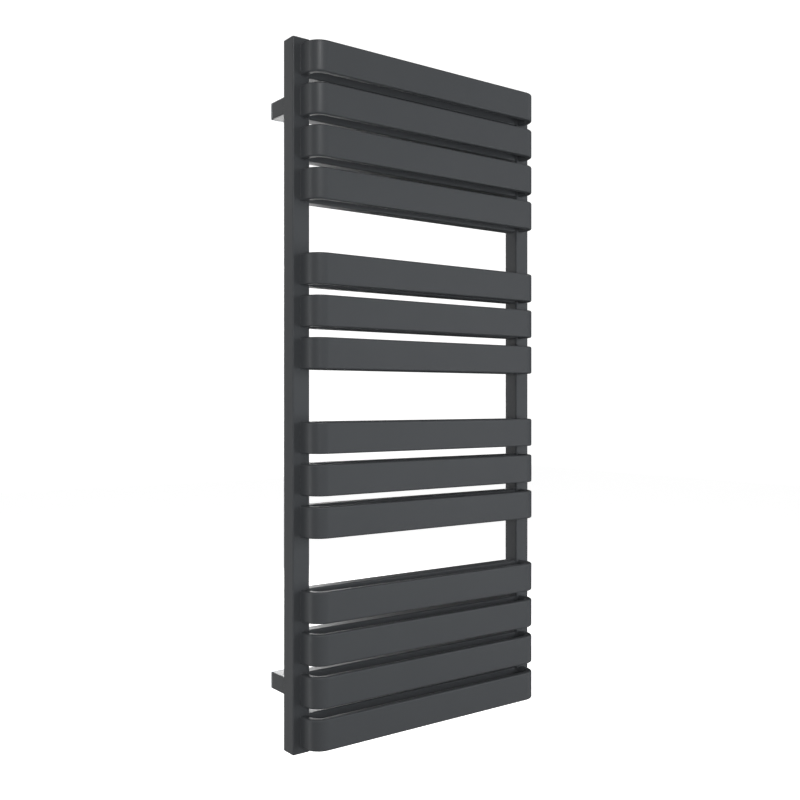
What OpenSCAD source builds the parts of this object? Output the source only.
// Wall-hung towel radiator with flat bent bars.
// The origin is the centre of the four wall screw holes, on the wall's face.
// +Z is up, +X is to the right and the room is on the -Y side.

/* [Radiator] */
// Width over the outer faces of the two uprights
radiator_width = 500; // [300:10:900]
// Upright left bare above the first bar and below the last
end_margin = 9.75; // [4:0.25:60]

/* [Uprights] */
// Side of the square upright tube
upright_size = 30; // [28:1:50]
// Wall of the upright tube
upright_wall = 1.5; // [1:0.1:2.5]
// Outer corner radius of the upright tube
upright_corner = 2.5; // [2:0.1:4]
// Thickness of the plates that close the upright's ends
cap_thickness = 2; // [1.5:0.1:4]
// Diameter of each water port between an upright and a bar
port_diameter = 8; // [4:0.5:9]

/* [Bars] */
// Height of every bar
bar_height = 49; // [30:1:80]
// Clear gap between two bars of one group
bar_gap = 16; // [8:0.5:40]
// Clear gap between two groups, for towels
group_gap = 81.5; // [40:0.5:200]
// How far the front faces stand in front of the uprights
bar_projection = 39; // [32:1:80]
// From the outer face of an upright to the end of a front bar
bar_inset = 13; // [3:0.5:14]
// Thickness of the flat tube of the front bars
bar_thickness = 12; // [11:0.5:14]
// Wall of the flat tubes, front and rear
bar_wall = 1.2; // [1:0.1:1.6]
// Radius of the long edges of the front bars
bar_edge = 3; // [2:0.1:5]
// Outer radius of the bend at each end of a front bar
bend_radius = 28; // [20:1:30]

/* [Rear tubes] */
// Depth of the tube behind each front bar
rear_depth = 24; // [12:1:25]
// From the upright's front face back to the front of the rear tubes
rear_setback = 2; // [1:0.5:4]
// Radius of the long edges of the rear tubes
rear_edge = 3; // [2:0.5:5.5]

/* [Wall brackets] */
// From the wall to the back of the uprights
wall_gap = 42; // [36:1:80]
// Side of the square bracket sleeve
bracket_size = 27; // [24:1:27]
// Wall of the bracket sleeve
bracket_wall = 2; // [1.5:0.1:2.5]
// From an upright's end to the centre of its bracket
bracket_inset = 100; // [60:5:300]
// Thickness of the spigot's plate on the wall
spigot_plate = 3; // [2:0.5:5]
// How far the spigot reaches into the sleeve
spigot_reach = 27; // [20:1:29]
// Wall of the square spigot
spigot_wall = 2; // [1.5:0.1:3]
// Clearance all round between spigot and sleeve
spigot_clearance = 0.3; // [0.1:0.05:0.5]
// Gap left between the sleeve and the spigot's plate
seat_gap = 0.5; // [0.3:0.1:2]
// Diameter of the wall screw's hole
wall_screw_hole = 6.5; // [4.5:0.5:8]
// Diameter of the set screw that clamps the spigot
set_screw_diameter = 6; // [4:0.5:8]
// Length of the set screw
set_screw_length = 5; // [3:0.5:8]

/* [Water connections] */
// Core diameter of the threaded hole in each inlet boss
inlet_bore = 18.6; // [14:0.1:19]
// Outer diameter of the inlet boss
inlet_boss_diameter = 25; // [22:0.5:25]
// Depth of the threaded hole
inlet_depth = 15; // [10:0.5:25]

/* [Air vent] */
// From the top of the right upright down to the vent's axis
vent_inset = 28; // [22:1:50]
// Outer diameter of the vent boss
vent_boss_diameter = 24; // [23:0.1:24.5]
// How far the vent boss stands proud of the upright's back
vent_boss_proud = 1.5; // [0.5:0.5:4]
// Depth of the boss's threaded hole
vent_boss_depth = 9; // [6:0.5:14]
// Diameter of the vent plug's shank
vent_shank_diameter = 18; // [16:0.5:19]
// Diameter of the vent plug's round head
vent_head_diameter = 25; // [22:0.5:28]
// Thickness of the vent plug's head
vent_head_thickness = 5; // [4:0.5:8]
// Cord diameter of the vent's sealing ring
vent_seal_cord = 1.6; // [1:0.1:2.5]
// Diameter of the bleed screw's thread
bleed_thread_diameter = 5; // [4:0.5:6]
// Width across the flats of the bleed screw's square head
bleed_square = 5; // [4:0.5:6]
// How far the square head stands out of the plug
bleed_square_length = 5; // [3:0.5:8]
// Diameter of the vent's air outlet
outlet_diameter = 2; // [1:0.5:3]

/* [Hidden] */
$fn = 64;
BARS_PER_GROUP = [4, 3, 3, 4];
PLACES = ["top_left", "top_right", "bottom_left", "bottom_right"];
paint = "#3c3f42";
zinc = "#b4b8bb";
nickel = "#c9c6bd";
seal_black = "#18191a";
// How far a cut runs past the face that it opens.
overshoot = 1;
// Smallest inner corner radius of a square tube.
least_corner = 0.5;
press_gap = 0.15;
thread_clearance = 0.05;
// The bleed screw's cone and the narrow air way that it shuts.
tip_length = 3;
tip_seat_gap = 0.2;
air_way_diameter = bleed_thread_diameter / 2;
air_way_length = 4;
cone_diameter = bleed_thread_diameter - 1;
// The vent's sealing ring and the room round it.
washer_gap = 0.05;
seal_inset = 1;
seal_bore_gap = 0.5;
bleed_head_gap = 0.5;
slot_width = 2;
slot_depth = 1.5;
slot_length = vent_head_diameter / 3;

// Number of bars above each gap between two groups, counted from the top.
group_ends = [for (i = 0, n = BARS_PER_GROUP[0]; i < len(BARS_PER_GROUP) - 1;
    i = i + 1, n = n + BARS_PER_GROUP[i]) n];
bar_count = sum(BARS_PER_GROUP);
group_count = len(BARS_PER_GROUP);
stack_height = bar_count * bar_height + (bar_count - group_count) * bar_gap
    + (group_count - 1) * group_gap;
radiator_height = stack_height + 2 * end_margin;

// Planes across the depth of the radiator, from the wall forwards.
upright_back = -wall_gap;
upright_front = upright_back - upright_size;
upright_middle = upright_back - upright_size / 2;
bar_front = upright_front - bar_projection;
rear_front = upright_front + rear_setback;
rear_middle = rear_front + rear_depth / 2;

// Places across the width.
upright_x = (radiator_width - upright_size) / 2;
inner_span = radiator_width - 2 * upright_size;
bar_half_length = radiator_width / 2 - bar_inset;
bar_leg_x = bar_half_length - bar_thickness / 2;
bracket_z = radiator_height / 2 - bracket_inset;
vent_z = radiator_height / 2 - vent_inset;

// Bracket sizes that follow from one another.
spigot_size = bracket_size - 2 * bracket_wall - 2 * spigot_clearance;
sleeve_length = wall_gap - spigot_plate - seat_gap;
set_screw_y = -spigot_plate - spigot_reach / 2;
vent_face = upright_back + vent_boss_proud;
vent_head_start = vent_face + vent_seal_cord;
vent_shank_start = vent_face - vent_boss_depth;
bleed_tip_start = vent_shank_start + air_way_length + tip_seat_gap;

function sum(list, i = 0) = i < len(list) ? list[i] + sum(list, i + 1) : 0;
function node_name(stem, i) = str(stem, i < 10 ? "0" : "", i);
// How many groups end above bar i, counted from 0.
function groups_above(i) = len([for (e = group_ends) if (e <= i) e]);
// Height of the middle of bar i, counted from 0 at the top.
function bar_z(i) = radiator_height / 2 - end_margin - bar_height / 2
    - i * (bar_height + bar_gap) - groups_above(i) * (group_gap - bar_gap);
function side_of(place) = (place == "top_left" || place == "bottom_left") ? -1 : 1;
function level_of(place) = (place == "top_left" || place == "top_right") ? 1 : -1;

// A rectangle with round corners, centred, from plain shapes.
module rounded_rectangle(width, height, radius) {
    square([width - 2 * radius, height], center = true);
    square([width, height - 2 * radius], center = true);
    for (x = [-1, 1], y = [-1, 1])
        translate([x * (width / 2 - radius), y * (height / 2 - radius)])
            circle(r = radius);
}

module square_tube(size, wall, corner, length) {
    linear_extrude(length) difference() {
        rounded_rectangle(size, size, corner);
        rounded_rectangle(size - 2 * wall, size - 2 * wall, max(corner - wall, least_corner));
    }
}

// Turns a shape drawn along +Z to lie along +X, its width then along Y.
module along_x(length) {
    translate([-length / 2, 0, 0]) rotate([90, 0, 90]) linear_extrude(length) children();
}

// Turns a shape drawn along +Z to run from y back towards the wall.
module along_y(from, to) {
    translate([0, to, 0]) rotate([90, 0, 0]) linear_extrude(to - from) children();
}

// The course of a front bar: a straight face, two bends and two short legs.
module bar_course(thickness, height, edge, leg_end) {
    flat_length = 2 * (bar_half_length - bend_radius);
    middle_radius = bend_radius - bar_thickness / 2;
    bend_y = bar_front + bend_radius;
    translate([0, bar_front + bar_thickness / 2, 0])
        along_x(flat_length) rounded_rectangle(thickness, height, edge);
    for (side = [-1, 1]) {
        translate([side * flat_length / 2, bend_y, 0])
            rotate([0, 0, side > 0 ? -90 : 180]) rotate_extrude(angle = 90)
                translate([middle_radius, 0]) rounded_rectangle(thickness, height, edge);
        translate([side * bar_leg_x, 0, 0])
            along_y(bend_y, leg_end) rounded_rectangle(thickness, height, edge);
    }
}

module front_bar(i) {
    color(paint) translate([0, 0, bar_z(i)]) difference() {
        bar_course(bar_thickness, bar_height, bar_edge, upright_front);
        bar_course(bar_thickness - 2 * bar_wall, bar_height - 2 * bar_wall,
            bar_edge - bar_wall, upright_front + overshoot);
    }
}

module rear_tube(i) {
    color(paint) translate([0, rear_middle, bar_z(i)]) difference() {
        along_x(inner_span) rounded_rectangle(rear_depth, bar_height, rear_edge);
        along_x(inner_span + 2 * overshoot) rounded_rectangle(rear_depth - 2 * bar_wall,
            bar_height - 2 * bar_wall, rear_edge - bar_wall);
    }
}

module upright(side) {
    wall_cut = upright_wall + 2 * overshoot;
    color(paint) difference() {
        translate([side * upright_x, upright_middle, cap_thickness - radiator_height / 2])
            square_tube(upright_size, upright_wall, upright_corner,
                radiator_height - 2 * cap_thickness);
        for (i = [0 : bar_count - 1]) {
            translate([side * bar_leg_x, upright_front + upright_wall + overshoot, bar_z(i)])
                rotate([90, 0, 0]) cylinder(d = port_diameter, h = wall_cut);
            translate([side * (inner_span / 2 + upright_wall + overshoot),
                       rear_middle, bar_z(i)])
                rotate([0, -side * 90, 0]) cylinder(d = port_diameter, h = wall_cut);
        }
        if (side > 0) translate([upright_x, upright_back + overshoot, vent_z])
            rotate([90, 0, 0]) cylinder(d = vent_boss_diameter, h = wall_cut);
    }
}

module top_cap(side) {
    color(paint)
        translate([side * upright_x, upright_middle, radiator_height / 2 - cap_thickness])
            linear_extrude(cap_thickness)
                rounded_rectangle(upright_size, upright_size, upright_corner);
}

module inlet_boss(side) {
    color(paint) translate([side * upright_x, upright_middle, -radiator_height / 2])
        difference() {
            union() {
                linear_extrude(cap_thickness)
                    rounded_rectangle(upright_size, upright_size, upright_corner);
                cylinder(d = inlet_boss_diameter, h = inlet_depth);
            }
            translate([0, 0, -overshoot])
                cylinder(d = inlet_bore, h = inlet_depth + 2 * overshoot);
        }
}

// Welded to the back of an upright; slides over the spigot on the wall.
module bracket_sleeve(side, level) {
    color(paint) difference() {
        translate([side * upright_x, upright_back, level * bracket_z])
            rotate([-90, 0, 0])
                square_tube(bracket_size, bracket_wall, bracket_wall, sleeve_length);
        translate([side * (upright_x - bracket_size / 2 - overshoot), set_screw_y,
                   level * bracket_z])
            rotate([0, side * 90, 0])
                cylinder(d = set_screw_diameter + 2 * thread_clearance,
                    h = bracket_wall + 2 * overshoot);
    }
}

// Screwed to the wall through the hole in its plate.
module wall_spigot(side, level) {
    color(zinc) translate([side * upright_x, 0, level * bracket_z]) difference() {
        union() {
            rotate([90, 0, 0]) linear_extrude(spigot_plate)
                rounded_rectangle(bracket_size, bracket_size, bracket_wall);
            translate([0, -spigot_plate, 0]) rotate([90, 0, 0])
                square_tube(spigot_size, spigot_wall, spigot_wall, spigot_reach);
        }
        translate([0, overshoot, 0]) rotate([90, 0, 0])
            cylinder(d = wall_screw_hole, h = spigot_plate + 2 * overshoot);
    }
}

module set_screws() {
    tip_x = upright_x - spigot_size / 2 - press_gap;
    color(zinc) for (side = [-1, 1], level = [-1, 1])
        translate([side * tip_x, set_screw_y, level * bracket_z])
            rotate([0, -side * 90, 0]) difference() {
                cylinder(d = set_screw_diameter, h = set_screw_length);
                translate([0, 0, set_screw_length / 2])
                    cylinder(d = set_screw_diameter / 2, h = set_screw_length, $fn = 6);
            }
}

// Places a shape drawn along +Z so that it points from the vent to the wall.
module at_vent(y) {
    translate([upright_x, y, vent_z]) rotate([-90, 0, 0]) children();
}

module vent_boss() {
    color(paint) at_vent(vent_shank_start) difference() {
        cylinder(d = vent_boss_diameter, h = vent_boss_depth);
        translate([0, 0, -overshoot])
            cylinder(d = vent_shank_diameter + 2 * thread_clearance,
                h = vent_boss_depth + 2 * overshoot);
    }
}

module vent_seal() {
    color(seal_black) at_vent(vent_face) difference() {
        cylinder(d = vent_head_diameter - 2 * seal_inset, h = vent_seal_cord - washer_gap);
        translate([0, 0, -overshoot])
            cylinder(d = vent_shank_diameter + 2 * seal_bore_gap,
                h = vent_seal_cord + 2 * overshoot);
    }
}

module vent_plug() {
    shank_length = vent_boss_depth + vent_seal_cord;
    full_length = shank_length + vent_head_thickness;
    color(nickel) at_vent(vent_shank_start) difference() {
        union() {
            cylinder(d = vent_shank_diameter, h = shank_length);
            translate([0, 0, shank_length])
                cylinder(d = vent_head_diameter, h = vent_head_thickness);
        }
        // The bleed screw's bore, and the narrow air way that its cone shuts.
        translate([0, 0, air_way_length])
            cylinder(d = bleed_thread_diameter + 2 * thread_clearance, h = full_length);
        translate([0, 0, -overshoot])
            cylinder(d = air_way_diameter, h = air_way_length + 2 * overshoot);
        // The air outlet, from the screw's bore down through the rim of the head.
        translate([0, 0, shank_length + vent_head_thickness / 2]) rotate([-90, 0, 0])
            cylinder(d = outlet_diameter, h = vent_head_diameter);
        // Slots across the head for a flat key.
        for (turn = [-1, 1])
            translate([turn * vent_head_diameter / 2, 0, full_length])
                cube([slot_length, slot_width, 2 * slot_depth], center = true);
    }
}

module bleed_cone() {
    color(seal_black) at_vent(bleed_tip_start)
        cylinder(d1 = air_way_diameter, d2 = cone_diameter, h = tip_length);
}

module bleed_screw() {
    start = bleed_tip_start + tip_length;
    head_start = vent_head_start + vent_head_thickness + bleed_head_gap;
    color(nickel) {
        at_vent(start)
            cylinder(d = bleed_thread_diameter, h = head_start - start);
        at_vent(head_start)
            linear_extrude(bleed_square_length)
                square(bleed_square, center = true);
    }
}

upright(-1);  // left_upright
upright(1);  // right_upright
top_cap(-1);  // left_top_cap
top_cap(1);  // right_top_cap
inlet_boss(-1);  // left_inlet_boss
inlet_boss(1);  // right_inlet_boss
for (i = [0 : bar_count - 1]) {
    front_bar(i);
    rear_tube(i);
}
for (place = PLACES) {
    bracket_sleeve(side_of(place), level_of(place));
    wall_spigot(side_of(place), level_of(place));
}
set_screws();  // bracket_set_screws
vent_boss();
vent_plug();
vent_seal();
bleed_screw();
bleed_cone();
